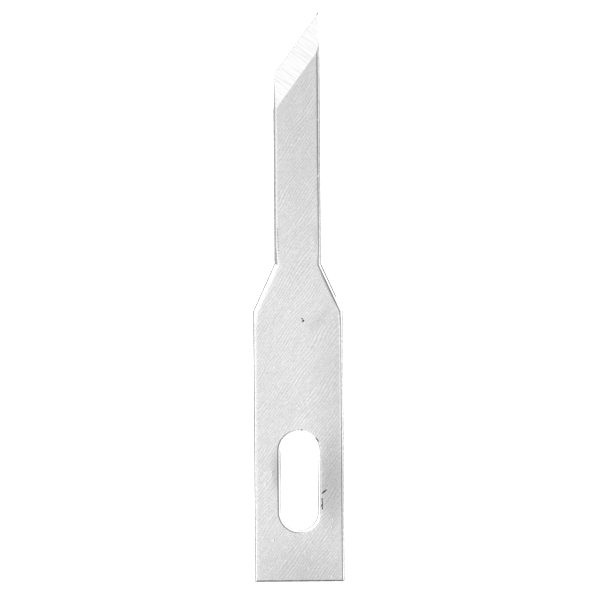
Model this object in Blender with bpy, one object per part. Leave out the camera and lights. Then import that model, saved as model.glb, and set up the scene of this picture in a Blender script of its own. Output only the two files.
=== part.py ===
"""A slotted, double-bevelled craft-knife blade: one stamped and ground piece of hardened steel.

The blade lies flat. X runs across it, Y runs along it from the butt to the point, and Z is up
through its thickness. The origin is the middle of the underside's bounding box, on Z = 0.
"""

from math import cos, pi, radians, sin, tan

import bmesh
import bpy
from mathutils import Matrix, Vector

MM = 0.001

# The strip that the blade is stamped from, and its outline.
THICKNESS = 0.5 * MM
LENGTH = 38.7 * MM  # butt to point
TANG_WIDTH = 6.1 * MM
TANG_LENGTH = 18.4 * MM  # butt to the foot of the shoulders
SHOULDER_LENGTH = 3.2 * MM  # foot of the shoulders to the neck
NECK_WIDTH = 3.17 * MM
POINT_ANGLE = radians(36.3)  # between the cutting edge and the spine

# The slot that locates the blade in its handle.
SLOT_WIDTH = 2.77 * MM
SLOT_LENGTH = 6.8 * MM
SLOT_TO_BUTT = 3.44 * MM
SLOT_ARC_STEPS = 24  # straight steps in each round end

# The stamped rim, and the two ground bevels that meet in the cutting edge.
RIM_RADIUS = 0.06 * MM
RIM_STEPS = 1
BEVEL_WIDTH = 1.56 * MM  # from the cutting edge to the flat, on each side
HONE_WIDTH = 0.14 * MM  # the steeper honed strip at the very edge
HONE_ANGLE = radians(15)  # between the honed strip and the middle of the thickness
EDGE_LAND = 0.02 * MM  # the metal left standing along the cutting edge
CUTTER_MARGIN = 3 * MM  # how far a cutter runs past the metal that it cuts

STEEL_COLOUR = (0.72, 0.72, 0.72, 1.0)
STEEL_ROUGHNESS = 0.32
SHARP_ANGLE = radians(20)

HEEL_DROP = NECK_WIDTH / tan(POINT_ANGLE)  # how far the cutting edge's heel lies below the point
POINT = Vector((NECK_WIDTH / 2, LENGTH / 2))
HEEL = Vector((-NECK_WIDTH / 2, LENGTH / 2 - HEEL_DROP))


def clear_scene():
    for obj in list(bpy.data.objects):
        bpy.data.objects.remove(obj, do_unlink=True)


def new_collection(name):
    collection = bpy.data.collections.new(name)
    bpy.context.scene.collection.children.link(collection)
    return collection


def ground_steel():
    material = bpy.data.materials.new("blade_steel")
    material.use_nodes = True
    shader = material.node_tree.nodes["Principled BSDF"]
    shader.inputs["Base Color"].default_value = STEEL_COLOUR
    shader.inputs["Metallic"].default_value = 1.0
    shader.inputs["Roughness"].default_value = STEEL_ROUGHNESS
    return material


def outline_points():
    """The blade's outline from the butt's left corner, anticlockwise."""
    butt = -LENGTH / 2
    foot = butt + TANG_LENGTH
    neck = foot + SHOULDER_LENGTH
    half_tang = TANG_WIDTH / 2
    half_neck = NECK_WIDTH / 2
    return [
        (-half_tang, butt),
        (half_tang, butt),
        (half_tang, foot),
        (half_neck, neck),
        tuple(POINT),
        tuple(HEEL),
        (-half_neck, neck),
        (-half_tang, foot),
    ]


def slot_points():
    """The slot's outline, clockwise: two half circles joined by straight sides."""
    radius = SLOT_WIDTH / 2
    low = -LENGTH / 2 + SLOT_TO_BUTT + radius
    high = low + SLOT_LENGTH - SLOT_WIDTH
    points = []
    for centre_y, start in ((high, pi), (low, 0.0)):
        for step in range(SLOT_ARC_STEPS + 1):
            angle = start - pi * step / SLOT_ARC_STEPS
            points.append((radius * cos(angle), centre_y + radius * sin(angle)))
    return points


def curve_to_mesh(curve_object, name, collection):
    """A mesh object with the curve's shape and place. The curve is removed."""
    bpy.context.view_layer.update()
    evaluated = curve_object.evaluated_get(bpy.context.evaluated_depsgraph_get())
    mesh = bpy.data.meshes.new_from_object(evaluated)
    mesh.name = name
    welded = bmesh.new()
    welded.from_mesh(mesh)
    bmesh.ops.remove_doubles(welded, verts=welded.verts, dist=1e-7)
    welded.to_mesh(mesh)
    welded.free()
    solid = bpy.data.objects.new(name, mesh)
    solid.matrix_world = curve_object.matrix_world
    collection.objects.link(solid)
    bpy.data.objects.remove(curve_object, do_unlink=True)
    return solid


def extruded(name, outlines, height, placing, collection, rim=0.0):
    """A solid of the given height, centred on the outlines' plane, with its rims rounded."""
    curve = bpy.data.curves.new(name + "_outline", "CURVE")
    curve.dimensions = "2D"
    curve.fill_mode = "BOTH"
    curve.extrude = height / 2 - rim
    curve.bevel_depth = rim
    curve.bevel_resolution = RIM_STEPS
    curve.offset = -rim
    for outline in outlines:
        spline = curve.splines.new("POLY")
        spline.points.add(len(outline) - 1)
        for point, (x, y) in zip(spline.points, outline):
            point.co = (x, y, 0.0, 1.0)
        spline.use_cyclic_u = True
    curve_object = bpy.data.objects.new(name + "_outline", curve)
    curve_object.matrix_world = placing
    collection.objects.link(curve_object)
    return curve_to_mesh(curve_object, name, collection)


def bevel_cutter(name, side, collection):
    """What the wheel and the hone take off one face; side is 1 for the top and -1 for below.

    Its section is drawn square to the cutting edge: first the distance into the blade from the
    edge, then the height from the middle of the thickness.
    """
    land = EDGE_LAND / 2
    honed = land + HONE_WIDTH * tan(HONE_ANGLE)
    clear = THICKNESS / 2 + CUTTER_MARGIN
    section = [
        (-CUTTER_MARGIN, land),
        (0.0, land),
        (HONE_WIDTH, honed),
        (BEVEL_WIDTH, THICKNESS / 2),
        (BEVEL_WIDTH + CUTTER_MARGIN / 4, clear),
        (-CUTTER_MARGIN, clear),
    ]
    along = (POINT - HEEL).normalized().to_3d()
    up = Vector((0.0, 0.0, 1.0))
    inward = up.cross(-along)
    placing = Matrix((inward, up, inward.cross(up))).transposed().to_4x4()
    placing.translation = ((POINT + HEEL) / 2).to_3d() + up * THICKNESS / 2
    length = (POINT - HEEL).length + 2 * CUTTER_MARGIN
    outline = [(inside, side * height) for inside, height in section]
    cutter = extruded(name, [outline], length, placing, collection)
    cutter.hide_render = True
    cutter.display_type = "WIRE"
    return cutter


def cut(solid, cutter):
    modifier = solid.modifiers.new("cut_" + cutter.name, "BOOLEAN")
    modifier.operation = "DIFFERENCE"
    modifier.solver = "EXACT"
    modifier.object = cutter


def main():
    clear_scene()
    parts = new_collection("craft_knife_blade")
    cutters = new_collection("cutters")
    middle = Matrix.Translation((0.0, 0.0, THICKNESS / 2))
    blade = extruded("blade", [outline_points(), slot_points()], THICKNESS, middle, parts, RIM_RADIUS)
    blade.data.materials.append(ground_steel())
    for name, side in (("top_bevel", 1), ("under_bevel", -1)):
        cut(blade, bevel_cutter(name, side, cutters))
    blade.data.shade_smooth()
    blade.data.set_sharp_from_angle(angle=SHARP_ANGLE)


main()
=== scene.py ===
"""Looks for a slotted craft-knife blade: one stamped, hardened and ground piece of steel.

The blade is modelled in the order in which it is made. A blank is cut from strip, with its
slot and its sheared walls. The edge is ground from both faces and honed. Handling then leaves
its dents and scratches. X runs across the blade, Y along it to the point, and Z through it.
"""

import logging
from collections.abc import Callable
from dataclasses import dataclass, field
from enum import Enum
from math import atan2, cos, pi, radians, sin, sqrt, tan

import bmesh
import bpy
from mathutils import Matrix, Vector


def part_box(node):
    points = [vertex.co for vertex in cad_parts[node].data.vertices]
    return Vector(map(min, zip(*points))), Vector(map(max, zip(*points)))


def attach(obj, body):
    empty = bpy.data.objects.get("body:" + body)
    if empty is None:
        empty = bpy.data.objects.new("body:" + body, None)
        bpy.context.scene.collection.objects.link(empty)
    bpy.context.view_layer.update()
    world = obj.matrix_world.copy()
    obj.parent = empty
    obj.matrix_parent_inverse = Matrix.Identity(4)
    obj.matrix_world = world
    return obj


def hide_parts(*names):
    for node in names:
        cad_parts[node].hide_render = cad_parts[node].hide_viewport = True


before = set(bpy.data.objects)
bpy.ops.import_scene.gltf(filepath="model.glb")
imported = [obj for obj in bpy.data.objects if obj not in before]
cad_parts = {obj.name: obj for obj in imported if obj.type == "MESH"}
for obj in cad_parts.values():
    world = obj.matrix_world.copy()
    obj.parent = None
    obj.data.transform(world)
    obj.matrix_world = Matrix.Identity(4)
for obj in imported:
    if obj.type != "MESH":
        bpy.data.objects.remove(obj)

MM = 0.001
NODE = "blade"
BODY = "root"
MERGE = 1e-7  # metres; points closer together than this are one point
ROUNDING = 1e-6  # metres; how far two places that are meant to be level may differ
SAME_NORMAL = 0.99999  # two normals whose dot product is more than this are the same
LEVEL = 0.9999  # a face whose normal's Z is more than this lies flat
LOG = logging.getLogger("craft_knife_blade")


class Region(Enum):
    """The surfaces of the blade that are finished differently, in material slot order."""

    FLAT = 0
    BEVEL = 1
    HONE = 2
    RIM = 3
    LIP = 4
    TORN = 5
    WALL = 6
    CHAMFER = 7
    BREAK = 8
    PARTING = 9
    SPECK = 10
    PIT = 11


def linear(hex_colour: str) -> tuple[float, float, float, float]:
    """Turn an sRGB colour into the linear values that a shader takes.

    Args:
        hex_colour: Six hex digits, two for each of red, green and blue.

    Returns:
        Red, green, blue and an alpha of 1, each from 0 to 1.
    """
    channels = [int(hex_colour[i : i + 2], 16) / 255 for i in (0, 2, 4)]
    values = [c / 12.92 if c <= 0.04045 else ((c + 0.055) / 1.055) ** 2.4 for c in channels]
    return (*values, 1.0)


def add_node(
    tree: bpy.types.NodeTree,
    kind: str,
    settings: dict[str, object] | None = None,
    inputs: dict[str | int, object] | None = None,
) -> bpy.types.Node:
    """Add a node, set its properties, and set or link its inputs.

    Args:
        tree: The node tree that the node goes in.
        kind: Blender's name for the node's type.
        settings: Property names and their values.
        inputs: Input names or numbers, each with a value or the socket that feeds it.

    Returns:
        The new node.
    """
    node = tree.nodes.new(kind)
    for name, value in (settings or {}).items():
        setattr(node, name, value)
    for key, value in (inputs or {}).items():
        if isinstance(value, bpy.types.NodeSocket):
            tree.links.new(value, node.inputs[key])
        else:
            node.inputs[key].default_value = value
    return node


def deselect_everything() -> None:
    """Clear the selection, so that an operator acts only on what is picked next."""
    for obj in bpy.context.selected_objects:
        obj.select_set(False)


def make_active(obj: bpy.types.Object) -> None:
    """Select one object alone and make it the active one."""
    deselect_everything()
    obj.select_set(True)
    bpy.context.view_layer.objects.active = obj


def pick(
    obj: bpy.types.Object,
    verts: Callable[[bmesh.types.BMVert], bool] | None = None,
    edges: Callable[[bmesh.types.BMEdge], bool] | None = None,
    faces: Callable[[bmesh.types.BMFace], bool] | None = None,
) -> int:
    """Select parts of the mesh being edited by a test of each one's place or normal.

    Args:
        obj: The object in edit mode.
        verts: Says which points to select.
        edges: Says which edges to select.
        faces: Says which faces to select.

    Returns:
        How many parts were selected.
    """
    bpy.ops.mesh.select_all(action="DESELECT")
    mesh = bmesh.from_edit_mesh(obj.data)
    count = 0
    for parts, test in ((mesh.verts, verts), (mesh.edges, edges), (mesh.faces, faces)):
        for part in parts if test else ():
            if test(part):
                part.select_set(True)
                count += 1
    mesh.select_flush_mode()
    bmesh.update_edit_mesh(obj.data)
    return count


def step_in(inward: float, up: float) -> None:
    """Inset the selected faces, and move them along their normal, by one step of a profile."""
    bpy.ops.mesh.inset(thickness=inward, depth=up, use_boundary=True, use_even_offset=True)


def slice_off(place: Vector, normal: Vector) -> None:
    """Cut away all of the mesh being edited that lies outside a plane, and close the cut.

    Args:
        place: A point on the plane.
        normal: The way the plane faces, out of the steel that stays.
    """
    bpy.ops.mesh.select_all(action="SELECT")
    bpy.ops.mesh.bisect(
        plane_co=place, plane_no=normal, use_fill=True, clear_outer=True, threshold=MERGE
    )


def cut_out(piece: bpy.types.Object, cutter: bpy.types.Object, operation: str = "DIFFERENCE") -> None:
    """Cut one closed shape out of another, or join it on, and remove it.

    Args:
        piece: The mesh object that is changed.
        cutter: The mesh object that is taken out of it or joined to it.
        operation: DIFFERENCE or UNION.
    """
    make_active(piece)
    change = piece.modifiers.new("cut", "BOOLEAN")
    change.operation = operation
    change.solver = "EXACT"
    change.object = cutter
    bpy.ops.object.modifier_apply(modifier=change.name)
    bpy.data.objects.remove(cutter, do_unlink=True)


@dataclass(frozen=True)
class Shear:
    """The profile that a press leaves on a wall, from the square foot to the rolled rim.

    The wall spreads towards the underside, so it shows from above. Lengths are in metres.
    """

    foot_height: float = 0.015 * MM  # the square foot of the wall
    lip_width: float = 0.05 * MM  # the burr that the die leaves round the foot
    lip_height: float = 0.046 * MM
    spread: float = 0.08 * MM
    rim_width: float = 0.24 * MM
    rim_depth: float = 0.028 * MM
    rim_power: int = 6  # how quickly the rolled rim flattens out
    rim_steps: int = 9

    @property
    def total_width(self) -> float:
        """How far the top of the rim stands in from the foot."""
        return self.lip_width + self.spread + self.rim_width

    def lip_step(self) -> tuple[float, float]:
        """How far in and up the burr goes."""
        return self.lip_width, self.lip_height

    def wall_step(self, thickness: float) -> tuple[float, float]:
        """How far in and up the sheared wall goes on a strip of that thickness."""
        return self.spread, thickness - self.foot_height - self.lip_height - self.rim_depth

    def rim_profile(self) -> list[tuple[float, float]]:
        """The steps of the rolled rim, each as how far in and up it goes."""
        steps = self.rim_steps
        left = [self.rim_depth * (1 - i / steps) ** self.rim_power for i in range(steps + 1)]
        return [(self.rim_width / steps, low - high) for low, high in zip(left, left[1:])]


@dataclass
class Blank:
    """The blank as the press leaves it: its outline and its sheared walls.

    Every length is in metres.
    """

    low: Vector
    high: Vector
    shear: Shear = Shear()
    tang_length: float = 18.4 * MM
    shoulder_length: float = 3.2 * MM
    neck_width: float = 3.17 * MM
    spare_end: float = 0.6 * MM  # what the blank has past each end before it is cut to length
    # How much wider the left and the right shoulder's walls are, and each of the first steps of
    # their rims.
    shoulder_spread: tuple[float, float] = (0.1 * MM, 0.04 * MM)
    shoulder_roll: tuple[float, float] = (0.03 * MM, 0.014 * MM)
    rolled_steps: int = 4
    shoulder_margin: float = 0.5 * MM  # how far past each end of a shoulder its wide top reaches
    fade_length: float = 1.2 * MM  # over what length the wide wall dies out along the tang
    shade_share: float = 0.3  # where along the right shoulder, from the tang, the painted shade line along its foot starts
    parting_angle: float = radians(16.5)  # how far the butt leans from upright

    @property
    def thickness(self) -> float:
        """How thick the strip is."""
        return self.high.z - self.low.z

    @property
    def lip_top(self) -> float:
        """The height of the top of the burr."""
        return self.low.z + self.shear.foot_height + self.shear.lip_height

    @property
    def foot(self) -> float:
        """Where the tang ends and the shoulders start, along Y."""
        return self.low.y + self.tang_length

    @property
    def neck(self) -> float:
        """Where the shoulders end and the neck starts, along Y."""
        return self.foot + self.shoulder_length

    @property
    def shade_start(self) -> float:
        """Where the painted shade line along the foot of the right shoulder starts, along Y."""
        return self.foot + self.shade_share * self.shoulder_length

    def build(self, name: str) -> bpy.types.Object:
        """Model the whole blank.

        Args:
            name: What to call the object.

        Returns:
            The blank, closed, with its top at the blade's full height.
        """
        blank = self.outline(name)
        self.raise_walls(blank)
        slice_off(self.low, Vector((0.0, -cos(self.parting_angle), sin(self.parting_angle))))
        bpy.ops.object.mode_set(mode="OBJECT")
        return blank

    def outline(self, name: str) -> bpy.types.Object:
        """Draw the outline as a flat sheet, starting from the tang, and stay in edit mode."""
        tang_width = self.high.x - self.low.x
        butt = self.low.y - self.spare_end
        deselect_everything()
        bpy.ops.mesh.primitive_plane_add(size=tang_width, location=(0.0, butt + tang_width / 2, self.low.z))
        blank = bpy.context.active_object
        blank.name = name
        blank.data.name = name
        bpy.ops.object.transform_apply()
        bpy.ops.object.mode_set(mode="EDIT")
        self.pick_end(blank)
        bpy.ops.transform.translate(value=(0.0, self.foot - butt - tang_width, 0.0))
        bpy.ops.mesh.extrude_region_move(TRANSFORM_OT_translate={"value": (0.0, self.shoulder_length, 0.0)})
        bpy.ops.transform.resize(value=(self.neck_width / tang_width, 1.0, 1.0))
        neck_length = self.high.y + self.spare_end - self.neck
        bpy.ops.mesh.extrude_region_move(TRANSFORM_OT_translate={"value": (0.0, neck_length, 0.0)})
        for place in (self.foot - self.fade_length, self.shade_start, self.neck + self.fade_length):
            bpy.ops.mesh.select_all(action="SELECT")
            bpy.ops.mesh.bisect(plane_co=(0.0, place, 0.0), plane_no=(0.0, 1.0, 0.0), threshold=MERGE)
        return blank

    def pick_end(self, blank: bpy.types.Object) -> None:
        """Select the edge that lies furthest towards the point."""
        bpy.context.tool_settings.mesh_select_mode = (False, True, False)
        end = max(v.co.y for v in bmesh.from_edit_mesh(blank.data).verts) - ROUNDING
        pick(blank, edges=lambda e: all(v.co.y > end for v in e.verts))

    def raise_walls(self, blank: bpy.types.Object) -> None:
        """Extrude the sheet to its thickness with sloping walls and a rolled rim at the top."""
        bpy.context.tool_settings.mesh_select_mode = (False, False, True)
        bpy.ops.mesh.select_all(action="SELECT")
        bpy.ops.mesh.normals_make_consistent(inside=False)
        foot = (0.0, 0.0, self.shear.foot_height)
        bpy.ops.mesh.extrude_region_move(TRANSFORM_OT_translate={"value": foot})
        step_in(*self.shear.lip_step())
        step_in(*self.shear.wall_step(self.thickness))
        self.widen_at_shoulders(blank, self.shoulder_spread)
        for step, (inward, up) in enumerate(self.shear.rim_profile()):
            step_in(inward, up)
            if step < self.rolled_steps:
                self.widen_at_shoulders(blank, self.shoulder_roll)
        bpy.ops.mesh.select_all(action="SELECT")
        bpy.ops.mesh.normals_make_consistent(inside=False)

    def widen_at_shoulders(self, blank: bpy.types.Object, extra: tuple[float, float]) -> None:
        """Pull the top of the profile further in along both shoulders.

        Args:
            blank: The blank, in edit mode, with its top selected.
            extra: How far to pull it at the left and at the right, square to the shoulder.
        """
        top = [face.index for face in bmesh.from_edit_mesh(blank.data).faces if face.select]
        slope = atan2(self.shoulder_length, (self.high.x - self.low.x - self.neck_width) / 2)
        bpy.context.tool_settings.mesh_select_mode = (True, False, False)
        level = max(v.co.z for v in bmesh.from_edit_mesh(blank.data).verts) - ROUNDING
        for side, pull in zip((-1, 1), extra):
            pick(
                blank,
                verts=lambda v: v.co.z > level
                and v.co.x * side > 0
                and self.foot - self.shoulder_margin < v.co.y < self.neck + self.shoulder_margin,
            )
            inward = Vector((-side * sin(slope), -cos(slope), 0.0))
            bpy.ops.transform.translate(value=inward * pull)
        bpy.context.tool_settings.mesh_select_mode = (False, False, True)
        pick(blank, faces=lambda f: f.index in top)


@dataclass
class SlotPunch:
    """The slot that drops over a post in the holder, with walls sheared like the outline's.

    Every length is in metres and is taken at the underside, where the slot is tightest.
    """

    low: Vector
    high: Vector
    shear: Shear = Shear(
        lip_width=0.04 * MM,
        lip_height=0.036 * MM,
        spread=0.085 * MM,
        rim_width=0.13 * MM,
        rim_depth=0.042 * MM,
        rim_power=2,
    )
    width: float = 2.53 * MM
    length: float = 6.64 * MM
    to_butt: float = 3.52 * MM
    points: int = 66  # twice an odd number, so that both long sides are straight
    overshoot: float = 0.2 * MM  # how far the punch goes past each face
    lit_side_lean: float = 0.12  # the slot's rim takes the bright finish, a painted highlight, where its normal's -X, towards the key light, is more than this
    reach: float = 0.01 * MM  # how far past the rim a point still counts as the slot's

    def punch(self, blank: bpy.types.Object) -> None:
        """Cut the slot through the blank."""
        cut_out(blank, self.cutter())

    def cutter(self) -> bpy.types.Object:
        """Model the punch upside down: a stretched disc at the top, stepped in on its way down."""
        wide = self.width / 2 + self.shear.total_width
        centre_y = self.low.y + self.to_butt + self.width / 2
        deselect_everything()
        bpy.ops.mesh.primitive_circle_add(
            vertices=self.points, radius=wide, fill_type="NGON", location=(0.0, centre_y, self.high.z)
        )
        cutter = bpy.context.active_object
        bpy.ops.object.transform_apply()
        bpy.ops.object.mode_set(mode="EDIT")
        bpy.context.tool_settings.mesh_select_mode = (True, False, False)
        pick(cutter, verts=lambda v: v.co.y > centre_y)
        bpy.ops.transform.translate(value=(0.0, self.length - self.width, 0.0))
        bpy.context.tool_settings.mesh_select_mode = (False, False, True)
        bpy.ops.mesh.select_all(action="SELECT")
        up = (0.0, 0.0, self.overshoot)
        bpy.ops.mesh.extrude_region_move(TRANSFORM_OT_translate={"value": up})
        pick(cutter, faces=lambda f: f.calc_center_median().z < self.high.z + MERGE)
        for inward, down in reversed(self.shear.rim_profile()):
            step_in(inward, down)
        step_in(*self.shear.wall_step(self.high.z - self.low.z))
        step_in(*self.shear.lip_step())
        down = (0.0, 0.0, -self.overshoot - self.shear.foot_height)
        bpy.ops.mesh.extrude_region_move(TRANSFORM_OT_translate={"value": down})
        bpy.ops.mesh.select_all(action="SELECT")
        bpy.ops.mesh.normals_make_consistent(inside=False)
        bpy.ops.object.mode_set(mode="OBJECT")
        return cutter

    def holds(self, place: Vector) -> bool:
        """Say whether a point is on the slot's walls or rim."""
        reach = self.shear.total_width + self.reach
        start = self.low.y + self.to_butt
        in_length = start - reach < place.y < start + self.length + reach
        return in_length and abs(place.x) < self.width / 2 + reach

    def rounds(self, place: Vector) -> bool:
        """Say whether a point is in the left half of a round end, where the punch leaves no burr."""
        middle = self.low.y + self.to_butt + self.length / 2
        in_end = abs(place.y - middle) > (self.length - self.width) / 2 + self.reach
        return in_end and place.x < 0 and self.holds(place)


@dataclass
class EdgeGrind:
    """The bevel that the wheel grinds on each face, and the honed strip at the very edge."""

    point: Vector  # where the cutting edge ends, in the middle of the thickness
    half_thickness: float
    point_angle: float = radians(36.3)
    bevel_width: float = 1.56 * MM
    hone_width: float = 0.14 * MM
    hone_angle: float = radians(15)
    tip_length: float = 0.17 * MM  # the very tip, which is painted near-black

    @property
    def inward(self) -> Vector:
        """The direction into the blade, square to the cutting edge."""
        return Vector((cos(self.point_angle), -sin(self.point_angle), 0.0))

    @property
    def bevel_angle(self) -> float:
        """How steep the bevel is, from the honed strip up to the flat."""
        rise = self.half_thickness - self.hone_width * tan(self.hone_angle)
        return atan2(rise, self.bevel_width - self.hone_width)

    def normal(self, angle: float, side: int) -> Vector:
        """The outward normal of a strip ground at that angle; side is 1 above and -1 below."""
        return -self.inward * sin(angle) + Vector((0.0, 0.0, side * cos(angle)))

    def grind(self, blank: bpy.types.Object) -> None:
        """Take both bevels and both honed strips off the blank.

        Args:
            blank: The closed blank, which reaches past the cutting edge.
        """
        make_active(blank)
        bpy.ops.object.mode_set(mode="EDIT")
        for side in (1, -1):
            shoulder = self.point + self.inward * self.bevel_width
            shoulder = shoulder + Vector((0.0, 0.0, side * self.half_thickness))
            slice_off(shoulder, self.normal(self.bevel_angle, side))
            slice_off(self.point, self.normal(self.hone_angle, side))
        bpy.ops.mesh.select_all(action="SELECT")
        tip = self.point - Vector((0.0, self.tip_length, 0.0))
        bpy.ops.mesh.bisect(plane_co=tip, plane_no=(0.0, 1.0, 0.0), threshold=MERGE)
        bpy.ops.mesh.select_all(action="SELECT")
        bpy.ops.mesh.remove_doubles(threshold=MERGE)
        bpy.ops.mesh.normals_make_consistent(inside=False)
        bpy.ops.object.mode_set(mode="OBJECT")


@dataclass(frozen=True)
class Mark:
    """A small mark on the top face, round-bottomed or round-topped, set out from the middle.

    Every length is in millimetres, and turn is in degrees from +Y towards +X. A height above 0
    stands proud of the face, and one below 0 is cut into it.
    """

    x: float
    y: float
    length: float
    width: float
    height: float
    turn: float = 0.0
    # PIT paints the mark near-black, as shade in its hollow; SPECK paints a white glint on it.
    kind: Region = Region.PIT

    def shape(self, top: float) -> bpy.types.Object:
        """Model the ellipsoid whose cap makes the mark.

        Args:
            top: The height of the top face.

        Returns:
            The ellipsoid, with its middle two heights past the face, so that the cap is shallow.
        """
        across = 3 / sqrt(5)  # from the cap's width on the face to the whole ellipsoid's
        upright = 6 * abs(self.height)  # from the cap's height to the whole ellipsoid's
        place = (self.x * MM, self.y * MM, top - 2 * self.height * MM)
        deselect_everything()
        bpy.ops.mesh.primitive_ico_sphere_add(subdivisions=3, radius=MM / 2, location=place)
        shape = bpy.context.active_object
        shape.rotation_euler.z = -radians(self.turn)
        shape.scale = (self.width * across, self.length * across, upright)
        bpy.ops.object.transform_apply()
        for face in shape.data.polygons:
            face.material_index = self.kind.value
        return shape


@dataclass
class Wear:
    """The nicks, scratches, pits and raised specks that making and handling have left."""

    scratches: tuple[Mark, ...] = (
        Mark(1.67, -13.22, 0.48, 0.09, -0.045, 50.0),
        Mark(1.97, -12.88, 0.40, 0.05, -0.010, 31.0, Region.SPECK),
    )
    slot_nicks: tuple[Mark, ...] = (
        Mark(1.53, -13.73, 0.20, 0.09, -0.05, 8.0),
        Mark(1.56, -13.93, 0.24, 0.07, -0.05, -15.0),
        Mark(1.53, -14.14, 0.24, 0.11, -0.05, 12.0),
        Mark(1.55, -14.33, 0.20, 0.08, -0.05, -8.0),
        Mark(1.23, -9.67, 0.42, 0.07, -0.05, -35.0),
        Mark(0.19, -9.03, 0.14, 0.12, -0.04, 30.0),
        Mark(0.00, -8.99, 0.12, 0.16, -0.05, 0.0, Region.SPECK),
    )
    pits: tuple[Mark, ...] = (
        Mark(0.27, -1.47, 0.08, 0.12, -0.03, 20.0),
        Mark(0.34, -1.62, 0.12, 0.19, -0.04, -60.0),
    )
    spine_nicks: tuple[Mark, ...] = (
        Mark(1.43, 12.0, 0.12, 0.12, -0.04, 0.0, Region.SPECK),
        Mark(1.41, 8.2, 0.16, 0.12, -0.04, 0.0, Region.SPECK),
    )
    specks: tuple[Mark, ...] = (
        Mark(-1.85, -11.84, 0.16, 0.16, 0.014, 0.0, Region.SPECK),
        Mark(-1.86, -12.06, 0.14, 0.13, 0.011, 0.0, Region.SPECK),
        Mark(-2.28, -12.63, 0.24, 0.13, 0.014, 60.0, Region.SPECK),
        Mark(-1.76, -16.51, 0.20, 0.16, 0.015, 20.0, Region.SPECK),
        Mark(-0.08, -16.09, 0.14, 0.13, 0.013, 0.0, Region.SPECK),
        Mark(-0.60, -16.90, 0.09, 0.09, 0.009, 0.0, Region.SPECK),
        Mark(0.78, -16.58, 0.14, 0.12, 0.011, 30.0, Region.SPECK),
        Mark(0.40, -17.31, 0.16, 0.12, 0.013, 40.0, Region.SPECK),
        Mark(2.19, -15.63, 0.13, 0.12, 0.011, 0.0, Region.SPECK),
        Mark(2.26, -15.09, 0.14, 0.12, 0.011, 20.0, Region.SPECK),
        Mark(2.17, -18.96, 0.16, 0.14, 0.014, 0.0, Region.SPECK),
        Mark(0.61, -18.41, 0.12, 0.10, 0.009, 0.0, Region.SPECK),
        Mark(-0.92, 2.96, 0.16, 0.12, 0.011, 30.0, Region.SPECK),
        Mark(1.11, 3.68, 0.16, 0.12, 0.012, 20.0, Region.SPECK),
    )
    score_start: Vector = Vector((-1.35, 4.60))  # a dotted score beside the neck's left edge
    score_end: Vector = Vector((-1.28, 2.55))
    score_dots: int = 11

    def carve(self, piece: bpy.types.Object, top: float) -> None:
        """Make every mark on the blade's top face.

        Args:
            piece: The ground blade.
            top: The height of the top face.
        """
        hollows = (*self.scratches, *self.slot_nicks, *self.pits, *self.spine_nicks, *self.score())
        for mark in (*hollows, *self.specks):
            cut_out(piece, mark.shape(top), "UNION" if mark.height > 0 else "DIFFERENCE")

    def score(self) -> list[Mark]:
        """Space the dots of the score evenly, each a little shorter than the last."""
        marks = []
        for dot in range(self.score_dots):
            place = self.score_start.lerp(self.score_end, dot / (self.score_dots - 1))
            marks.append(Mark(place.x, place.y, 0.2 - 0.01 * dot, 0.035, -0.007))
        return marks


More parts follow.
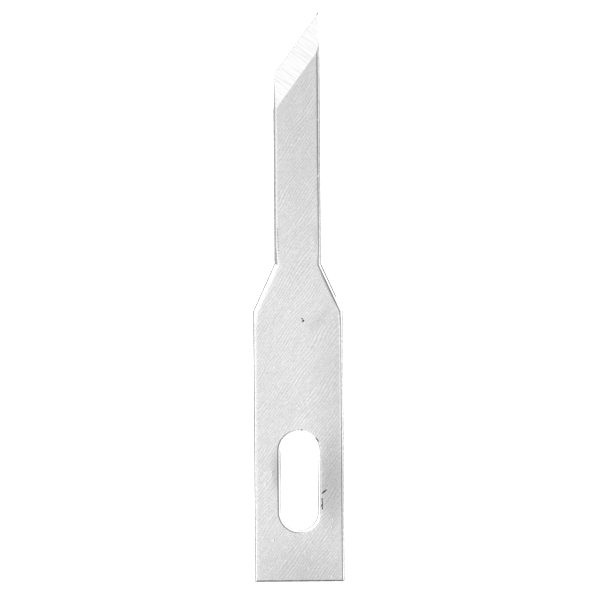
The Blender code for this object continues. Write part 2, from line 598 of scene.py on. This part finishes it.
@dataclass
class Blade:
    """The finished blade: one piece of steel, with each surface dressed as it is finished."""

    low: Vector
    high: Vector
    name: str = "craft_blade"
    crease: float = radians(32)  # two faces of one surface that meet more sharply show a line
    butt_lean: float = 0.9  # a face at the butt was parted where its normal's -Y is more than this
    blank: Blank = field(init=False)
    slot: SlotPunch = field(init=False)
    edge: EdgeGrind = field(init=False)

    def __post_init__(self) -> None:
        """Set the blank and the edge out from the box that the blade fills."""
        self.blank = Blank(self.low, self.high)
        self.slot = SlotPunch(self.low, self.high)
        half = self.blank.thickness / 2
        shear = self.blank.shear
        spine = self.blank.neck_width / 2 - shear.lip_width - shear.spread / 2
        self.edge = EdgeGrind(Vector((spine, self.high.y, self.low.z + half)), half)

    def build(self) -> bpy.types.Object:
        """Model the blade and give each face its finish.

        Returns:
            The finished piece, at the origin and unscaled.
        """
        piece = self.blank.build(self.name)
        self.slot.punch(piece)
        self.edge.grind(piece)
        self.sort_faces(piece)
        Wear().carve(piece, self.high.z)
        self.smooth(piece)
        for region, finish in sorted(finishes(self.edge).items(), key=lambda pair: pair[0].value):
            piece.data.materials.append(finish.material())
        return piece

    def smooth(self, piece: bpy.types.Object) -> None:
        """Shade the rolled rim smooth into the flats, and keep every ground or sheared line crisp."""
        make_active(piece)
        bpy.ops.object.mode_set(mode="EDIT")
        bpy.context.tool_settings.mesh_select_mode = (False, True, False)
        pick(piece, edges=self.is_crisp)
        bpy.ops.mesh.mark_sharp()
        bpy.ops.object.mode_set(mode="OBJECT")
        bpy.ops.object.shade_smooth()
        weighting = piece.modifiers.new("weighting", "WEIGHTED_NORMAL")
        weighting.keep_sharp = True
        weighting.weight = 100
        bpy.ops.object.modifier_apply(modifier=weighting.name)

    def is_crisp(self, edge: bmesh.types.BMEdge) -> bool:
        """Say whether the two faces at an edge meet in a line that shows."""
        slots = {face.material_index for face in edge.link_faces}
        rolled = slots == {Region.FLAT.value, Region.RIM.value}
        return edge.calc_face_angle(0.0) > self.crease or (len(slots) > 1 and not rolled)

    def sort_faces(self, piece: bpy.types.Object) -> None:
        """Give each face the material slot of the surface that it belongs to."""
        for face in piece.data.polygons:
            face.material_index = self.region(face).value

    def region(self, face: bpy.types.MeshPolygon) -> Region:
        """Say which surface a face belongs to, by its normal and its place."""
        if face.center.y > self.high.y - self.edge.tip_length:
            return Region.PIT
        for angle, found in ((self.edge.bevel_angle, Region.BEVEL), (self.edge.hone_angle, Region.HONE)):
            for side in (1, -1):
                if face.normal.dot(self.edge.normal(angle, side)) > SAME_NORMAL:
                    return found
        if abs(face.normal.z) > LEVEL:
            return Region.FLAT
        in_slot = self.slot.holds(face.center)
        shear = self.slot.shear if in_slot else self.blank.shear
        if face.center.z > self.high.z - shear.rim_depth:
            # Slot rim faces turned towards the key light get the bright finish instead of the rim's painted
            # shade: a painted highlight.
            return Region.CHAMFER if in_slot and face.normal.x < -self.slot.lit_side_lean else Region.RIM
        if face.normal.y < -self.butt_lean and face.center.y < self.low.y + self.blank.thickness:
            return Region.PARTING
        if face.center.z < self.blank.lip_top:
            return self.lip_region(face.center)
        return self.wall_region(face.center)

    def wall_region(self, place: Vector) -> Region:
        """Say how the wall at a point was cut."""
        if self.blank.foot < place.y < self.blank.neck or self.slot.holds(place):
            return Region.CHAMFER
        # The neck's left wall takes the darker finish, partly painted shade.
        return Region.BREAK if place.x < 0 and place.y > self.blank.neck else Region.WALL

    def lip_region(self, place: Vector) -> Region:
        """Say what the foot of the wall at a point is like: burred, lined with painted shade, or like its
        wall.
        """
        shade_start = self.blank.foot if place.x < 0 else self.blank.shade_start
        if shade_start < place.y < self.blank.neck:
            return Region.TORN
        if place.y > self.blank.foot or self.slot.rounds(place):
            return self.wall_region(place)
        return Region.LIP


@dataclass(frozen=True)
class Grain:
    """Grinding lines on a steel surface."""

    pitch: float  # from one line to the next, in metres
    run: float  # how long a line lasts, in metres
    direction: float = 0.0  # the way the lines run, in radians from +Y towards +X
    even: float = 0.4  # the share of the pattern that is lines at a nearly even pitch
    streaks: float = 0.3  # the share that is loose streaks
    grit: float = 0.3  # the share that is fine pitting, which runs no way in particular

    def place(self, tree: bpy.types.NodeTree, run: float) -> bpy.types.NodeSocket:
        """Add nodes for a place in which one unit is a pitch across the lines, or a run along them."""
        return add_node(
            tree,
            "ShaderNodeMapping",
            {"vector_type": "TEXTURE"},
            {
                "Vector": add_node(tree, "ShaderNodeTexCoord").outputs["Object"],
                "Rotation": (0.0, 0.0, -self.direction),
                "Scale": (self.pitch, run, run),
            },
        ).outputs[0]

    def lines(self, tree: bpy.types.NodeTree) -> bpy.types.NodeSocket:
        """Add nodes for a pattern of broken parallel lines with fine pitting over them.

        Args:
            tree: The material's node tree.

        Returns:
            A value around 0.5 that rises and falls across the lines.
        """
        waves = add_node(
            tree,
            "ShaderNodeTexWave",
            {"wave_type": "BANDS", "bands_direction": "X", "wave_profile": "SIN"},
            {
                "Vector": self.place(tree, self.run / 3),
                "Scale": pi / 10,  # one wave for each pitch
                "Distortion": 14.0,  # breaks the waves up, so that no line runs straight for long
                "Detail": 1.0,
                "Detail Scale": 0.33,
            },
        )
        streaks = add_node(
            tree,
            "ShaderNodeTexNoise",
            None,
            {"Vector": self.place(tree, self.run), "Scale": 1.2, "Detail": 1.0},
        )
        grit = add_node(
            tree,
            "ShaderNodeTexNoise",
            None,
            {"Vector": self.place(tree, self.pitch), "Scale": 2.3, "Detail": 0.0},
        )
        noise_gain = 3.0  # a noise pattern swings a third as far as a wave
        layers = ((waves, self.even), (streaks, noise_gain * self.streaks), (grit, noise_gain * self.grit))
        total = 0.5 - sum(share for layer, share in layers) / 2
        for layer, share in layers:
            total = add_node(
                tree,
                "ShaderNodeMath",
                {"operation": "MULTIPLY_ADD"},
                {0: layer.outputs["Fac"], 1: share, 2: total},
            ).outputs[0]
        return total


@dataclass(frozen=True)
class ShadePatch:
    """A soft patch of painted shade on the steel, in millimetres from the middle of the blade."""

    x: float
    y: float
    half_width: float
    half_length: float
    strength: float  # 1 gives the full painted shade colour in the middle
    turn: float = 0.0  # in degrees from +Y towards +X

    def mask(self, tree: bpy.types.NodeTree) -> bpy.types.NodeSocket:
        """Add nodes for a value that is the painted shade's strength in its middle and fades to 0."""
        placed = add_node(
            tree,
            "ShaderNodeMapping",
            {"vector_type": "TEXTURE"},
            {
                "Vector": add_node(tree, "ShaderNodeTexCoord").outputs["Object"],
                "Location": (self.x * MM, self.y * MM, 0.0),
                "Rotation": (0.0, 0.0, -radians(self.turn)),
                "Scale": (self.half_width * MM, self.half_length * MM, 1.0),
            },
        )
        ball = add_node(
            tree, "ShaderNodeTexGradient", {"gradient_type": "SPHERICAL"}, {"Vector": placed.outputs[0]}
        )
        return add_node(
            tree,
            "ShaderNodeMapRange",
            {"interpolation_type": "SMOOTHERSTEP"},
            {"Value": ball.outputs["Fac"], "To Max": self.strength},
        ).outputs[0]


@dataclass(frozen=True)
class SteelFinish:
    """A steel surface whose grinding or shearing lines show in its colour, gloss and relief, with patches
    of painted shade darkening its colour.
    """

    name: str
    light: str  # the crests of the lines
    dark: str  # the bottoms of the lines
    roughness: tuple[float, float]
    grain: Grain
    relief: float  # how deep the lines are, in metres
    contrast: float = 0.5  # how far the line pattern spreads from dark to light
    balance: float = 0.5  # the middle of that spread; less of it leaves fewer dark lines
    # patches of painted shade over the steel, and the grey that they darken it towards
    shade_patches: tuple[ShadePatch, ...] = ()
    shade_colour: str = "AFAFAF"

    def material(self) -> bpy.types.Material:
        """Make the finish as a Blender material."""
        material = bpy.data.materials.new(self.name)
        material.use_nodes = True
        tree = material.node_tree
        shader = tree.nodes["Principled BSDF"]
        lines = self.grain.lines(tree)
        level = add_node(
            tree,
            "ShaderNodeMapRange",
            None,
            {
                "Value": lines,
                "From Min": self.balance - self.contrast / 2,
                "From Max": self.balance + self.contrast / 2,
            },
        ).outputs[0]
        tree.links.new(self.colour(tree, level), shader.inputs["Base Color"])
        gloss = add_node(
            tree,
            "ShaderNodeMapRange",
            None,
            {"Value": level, "To Min": self.roughness[1], "To Max": self.roughness[0]},
        )
        tree.links.new(gloss.outputs[0], shader.inputs["Roughness"])
        bump = add_node(
            tree,
            "ShaderNodeBump",
            None,
            {"Height": level, "Strength": 1.0, "Distance": self.relief},
        )
        tree.links.new(bump.outputs[0], shader.inputs["Normal"])
        shader.inputs["Metallic"].default_value = 1.0
        return material

    def colour(
        self, tree: bpy.types.NodeTree, level: bpy.types.NodeSocket
    ) -> bpy.types.NodeSocket:
        """Mix the finish's two greys by the line pattern, and darken it with its patches of painted shade.

        Args:
            tree: The material's node tree.
            level: The line pattern, from 0 in the dark lines to 1 in the light ones.

        Returns:
            The colour of the steel, with its painted shade.
        """
        mix = add_node(
            tree,
            "ShaderNodeMix",
            {"data_type": "RGBA"},
            {0: level, 6: linear(self.dark), 7: linear(self.light)},
        )
        colour = mix.outputs[2]
        for shade_patch in self.shade_patches:
            colour = add_node(
                tree,
                "ShaderNodeMix",
                {"data_type": "RGBA", "blend_type": "MULTIPLY"},
                {0: shade_patch.mask(tree), 6: colour, 7: linear(self.shade_colour)},
            ).outputs[2]
        return colour


# The patches of painted shade, standing in for the uneven reflections of the faces, that run over the
# ground faces and the rim alike.
PAINTED_SHADE_PATCHES = (
    ShadePatch(2.2, -12.7, 1.7, 5.2, 0.5),  # the strip between the slot and the right edge
    ShadePatch(0.6, -20.0, 5.5, 6.0, 0.33),
    ShadePatch(0.4, 13.0, 4.0, 18.0, 0.21),
    ShadePatch(1.3, -1.6, 0.7, 1.7, 0.16, 42.0),
    ShadePatch(1.3, 4.2, 0.5, 0.9, 0.14),
    ShadePatch(-1.55, -11.8, 0.6, 2.2, 0.44),
)


def finishes(edge: EdgeGrind) -> dict[Region, SteelFinish]:
    """Every finish on the blade, with its lines turned to the way each surface was worked.

    Args:
        edge: The ground edge, whose wheel ran square to it.

    Returns:
        The finish of each region of the blade.
    """
    across_edge = edge.point_angle + pi / 2
    grinding = radians(36)
    return {
        # Gives the faces their satin grey, with fine slanting lines that break up the light. The
        # real lines are some ten times finer, so they are drawn as coarse as they need to show.
        Region.FLAT: SteelFinish(
            "ground_steel_painted_shade", "FAFAFA", "DFDFDF", (0.27, 0.33),
            Grain(0.175 * MM, 1.2 * MM, grinding, 0.48, 0.16, 0.36), 0.0003 * MM, 0.9,
            # Painted shade: the shared patches, and one that darkens the steel towards the tang's right
            # side, away from the key light.
            shade_patches=(*PAINTED_SHADE_PATCHES, ShadePatch(3.6, -6.0, 4.0, 13.0, 0.25)),
        ),
        # Gives the edge its near-white flash, with a few faint lines that the wheel left square to it.
        Region.BEVEL: SteelFinish(
            "wheel_ground_bevel", "F5F5F5", "E9E9E9", (0.18, 0.24),
            Grain(0.12 * MM, 2.4 * MM, across_edge, 0.1, 0.8, 0.1), 0.0001 * MM, 0.65, 0.31,
        ),
        # Gives the cutting edge a hair line, broken where the stone has skipped.
        Region.HONE: SteelFinish(
            "honed_edge", "FAFAFA", "DEDEDE", (0.16, 0.24),
            Grain(0.2 * MM, 0.4 * MM, across_edge), 0.0003 * MM, 0.8,
        ),
        # Gives the outline its soft dark or bright line, by which side of the blade faces the light;
        # patches of painted shade also darken the rim on the sides turned away from the key light.
        Region.RIM: SteelFinish(
            "rolled_rim_painted_shade", "FEFEFE", "F2F2F2", (0.2, 0.28),
            Grain(0.18 * MM, 1.0 * MM, grinding), 0.0002 * MM, 0.9,
            shade_patches=(
                *PAINTED_SHADE_PATCHES,
                ShadePatch(2.3, 0.5, 0.7, 3.2, 0.9, -27.0),  # the right shoulder
                ShadePatch(-1.42, -12.0, 0.3, 7.0, 0.4),  # the slot's left side
                ShadePatch(1.35, 11.0, 0.5, 14.0, 0.6),  # the neck's right side
                ShadePatch(2.95, -14.0, 0.7, 9.0, 0.38),  # the lower half of the tang's right side
            ),
        ),
        # Gives the foot of the tang's and the slot's walls a thin grey line, where the burr is
        # still on; the grey is painted shade where the wall meets the card, darkest along the slot and the
        # tang's left side.
        Region.LIP: SteelFinish(
            "burred_foot_painted_shade", "F8F8F8", "D8D8D8", (0.3, 0.4),
            Grain(0.3 * MM, 0.3 * MM, even=0.0, streaks=0.6, grit=0.4), 0.0006 * MM,
            shade_patches=(
                ShadePatch(-1.3, -11.2, 1.0, 2.2, 1.0),  # the slot's left side
                ShadePatch(0.9, -13.4, 1.2, 4.4, 1.0),  # its right side and lower end
                ShadePatch(-3.0, -2.2, 1.0, 2.6, 0.8),  # the top of the tang's left side
                ShadePatch(-3.0, -9.0, 1.0, 24.0, 0.8),  # all of the tang's left side
            ),
            shade_colour="606060",
        ),
        # Gives the shoulders a dashed dark outline, painted shade along the foot of their walls.
        Region.TORN: SteelFinish(
            "shoulder_foot_painted_shade", "8C8C8C", "040404", (0.3, 0.4),
            Grain(0.2 * MM, 0.2 * MM, even=0.0, streaks=0.6, grit=0.4), 0.001 * MM, 0.3, 0.7,
        ),
        # Gives the tang's sides the light, slightly uneven band of clean shear, with painted shade on the
        # neck's and the lower tang's right sides.
        Region.WALL: SteelFinish(
            "sheared_wall", "FAFAFA", "E2E2E2", (0.25, 0.35),
            Grain(0.35 * MM, 0.35 * MM, even=0.0, streaks=0.8, grit=0.2), 0.0006 * MM,
            shade_patches=(
                ShadePatch(1.5, 10.0, 0.6, 20.0, 0.6),  # the neck's right side
                ShadePatch(3.0, -13.0, 0.6, 9.0, 0.5),  # the lower half of the tang's right side
            ),
        ),
        # Gives the slot and the shoulders a white band inside their outline; on the slot's rim it goes on
        # the faces turned towards the key light, as a painted highlight.
        Region.CHAMFER: SteelFinish(
            "bright_sheared_wall", "FCFCFC", "F0F0F0", (0.2, 0.3),
            Grain(0.4 * MM, 0.4 * MM, even=0.0, streaks=0.6, grit=0.4), 0.0005 * MM,
        ),
        # Gives the neck's left side a duller grey: rough fractured steel, darkened further as painted
        # shade, with a patch of painted shade towards the point.
        Region.BREAK: SteelFinish(
            "fractured_wall_painted_shade", "B4B4B4", "929292", (0.45, 0.6),
            Grain(0.2 * MM, 0.2 * MM, even=0.0, streaks=0.5, grit=0.5), 0.001 * MM,
            shade_patches=(ShadePatch(-1.6, 14.3, 0.8, 2.2, 0.9),), shade_colour="606060",
        ),
        # Gives the butt its dark line: painted shade on the leaning end, where blades snapped apart and
        # nothing was ground afterwards.
        Region.PARTING: SteelFinish(
            "parted_end_painted_shade", "585858", "343434", (0.45, 0.6),
            Grain(0.6 * MM, 0.3 * MM, even=0.0, streaks=0.5, grit=0.5), 0.001 * MM,
        ),
        # Gives the raised specks, and some of the nicks, a painted white glint against the ground face.
        Region.SPECK: SteelFinish(
            "speck_painted_glint", "FFFFFF", "F4F4F4", (0.2, 0.26),
            Grain(0.1 * MM, 0.1 * MM, even=0.0, streaks=0.5, grit=0.5), 0.0002 * MM,
        ),
        # Gives nicks, pits and the score's dots their near-black, painted shade in the hollows, and paints
        # the very tip near-black.
        Region.PIT: SteelFinish(
            "pits_painted_shade", "484848", "1C1C1C", (0.4, 0.5),
            Grain(0.1 * MM, 0.1 * MM, even=0.0, streaks=0.5, grit=0.5), 0.0005 * MM,
        ),
    }


@dataclass(frozen=True)
class Panel:
    """A square soft light, set out in metres from the blade and turned to face it."""

    name: str
    place: tuple[float, float, float]
    size: float
    radiance: float

    def build(self) -> None:
        """Hang the light."""
        data = bpy.data.lights.new(self.name, "AREA")
        data.shape = "SQUARE"
        data.size = self.size
        data.energy = 4 * self.radiance * self.size**2  # a panel of that power has that radiance
        light = bpy.data.objects.new(self.name, data)
        light.location = self.place
        light.rotation_euler = Vector(self.place).to_track_quat("Z", "Y").to_euler()
        bpy.context.scene.collection.objects.link(light)


@dataclass
class Studio:
    """A white card, soft light from above and the upper left, and a long lens straight above."""

    middle: Vector  # the middle of the blade
    length: float  # how long the blade is
    lens: float = 200.0
    sensor: float = 36.0
    margin: float = 20 / 19  # how much taller the frame is than the blade
    aim: Vector = Vector((0.139 * MM, -0.204 * MM, 0.0))  # what the lens points at, from the middle
    roll: float = radians(-0.42)
    ambient: float = 0.36
    card_size: float = 0.8
    card_drop: float = 0.02 * MM  # how far the card lies below the blade
    card_glow: float = 0.9  # light that comes through the card, so that it stays white
    panels: tuple[Panel, ...] = (
        Panel("key", (-0.47, 0.353, 0.81), 1.05, 0.58),
        Panel("top", (0.1, -0.05, 1.1), 0.4, 0.63),
        Panel("front", (-0.25, -0.65, 0.78), 1.0, 0.5),
    )

    def build(self) -> None:
        """Set up the card, the lights and the camera."""
        self.lay_card()
        self.light_room()
        for panel in self.panels:
            panel.build()
        self.set_camera()

    def lay_card(self) -> None:
        """Lay a plain white card, lit from behind, for the blade to rest on."""
        deselect_everything()
        bpy.ops.mesh.primitive_plane_add(size=self.card_size, location=(0.0, 0.0, -self.card_drop))
        card = bpy.context.active_object
        card.name = "card"
        material = bpy.data.materials.new("white_card")
        material.use_nodes = True
        shader = material.node_tree.nodes["Principled BSDF"]
        shader.inputs["Base Color"].default_value = linear("F4F4F4")
        shader.inputs["Roughness"].default_value = 0.9
        shader.inputs["Specular IOR Level"].default_value = 0.0
        shader.inputs["Emission Color"].default_value = (1.0, 1.0, 1.0, 1.0)
        shader.inputs["Emission Strength"].default_value = self.card_glow
        card.data.materials.append(material)

    def light_room(self) -> None:
        """Fill the room with even white light."""
        world = bpy.data.worlds.new("studio")
        bpy.context.scene.world = world
        world.use_nodes = True
        background = world.node_tree.nodes["Background"]
        background.inputs["Color"].default_value = (1.0, 1.0, 1.0, 1.0)
        background.inputs["Strength"].default_value = self.ambient

    def set_camera(self) -> None:
        """Hang the camera so that the blade fills the height of the frame."""
        data = bpy.data.cameras.new("camera")
        data.lens = self.lens
        data.sensor_width = self.sensor
        data.clip_start = 0.005
        camera = bpy.data.objects.new("camera", data)
        distance = self.length * self.margin * self.lens / self.sensor
        camera.location = self.middle + self.aim + Vector((0.0, 0.0, distance))
        camera.rotation_euler = (0.0, 0.0, self.roll)
        bpy.context.scene.collection.objects.link(camera)
        bpy.context.scene.camera = camera


def main() -> None:
    """Build the blade and its studio, and report each piece."""
    logging.basicConfig(level=logging.INFO, format="%(name)s: %(message)s")
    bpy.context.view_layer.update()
    low, high = (Vector(corner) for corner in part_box(NODE))
    piece = Blade(low, high).build()
    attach(piece, BODY)
    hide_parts(NODE)
    LOG.info("%s: %d faces", piece.name, len(piece.data.polygons))
    Studio((low + high) / 2, high.y - low.y).build()
    bpy.context.scene.view_settings.view_transform = "Standard"


if __name__ == "__main__":
    main()
